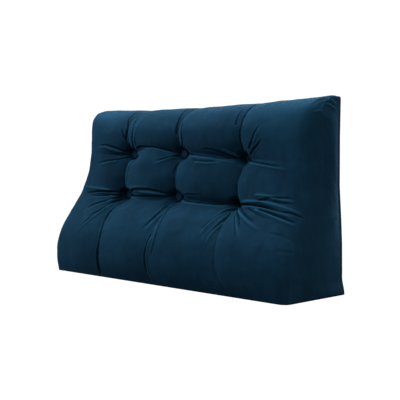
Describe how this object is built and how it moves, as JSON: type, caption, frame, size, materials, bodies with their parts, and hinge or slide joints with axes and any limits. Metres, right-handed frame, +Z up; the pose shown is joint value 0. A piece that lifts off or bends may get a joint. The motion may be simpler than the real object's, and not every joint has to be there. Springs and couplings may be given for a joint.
{
  "type": "wedge back cushion",
  "caption": "Filled velvet back cushion with a flat back and base, a button-tufted front that swells forward towards the foot, and plain end panels.",
  "frame": {"origin": "middle of the flat base that the cushion stands on", "axes": "+X across the width to the right seen from the front, +Y out of the flat back, +Z up; the tufted front faces -Y"},
  "size_m": [0.9289, 0.2702, 0.5026],
  "materials": {
    "cover": "deep teal-blue velvet with a short dense pile",
    "button": "the same velvet stretched over a button form"
  },
  "bodies": {
    "root": {"cushion": "cover", "button_lower_left": "button", "button_lower_middle": "button", "button_lower_right": "button", "button_upper_left": "button", "button_upper_middle": "button", "button_upper_right": "button"}
  },
  "joints": []
}
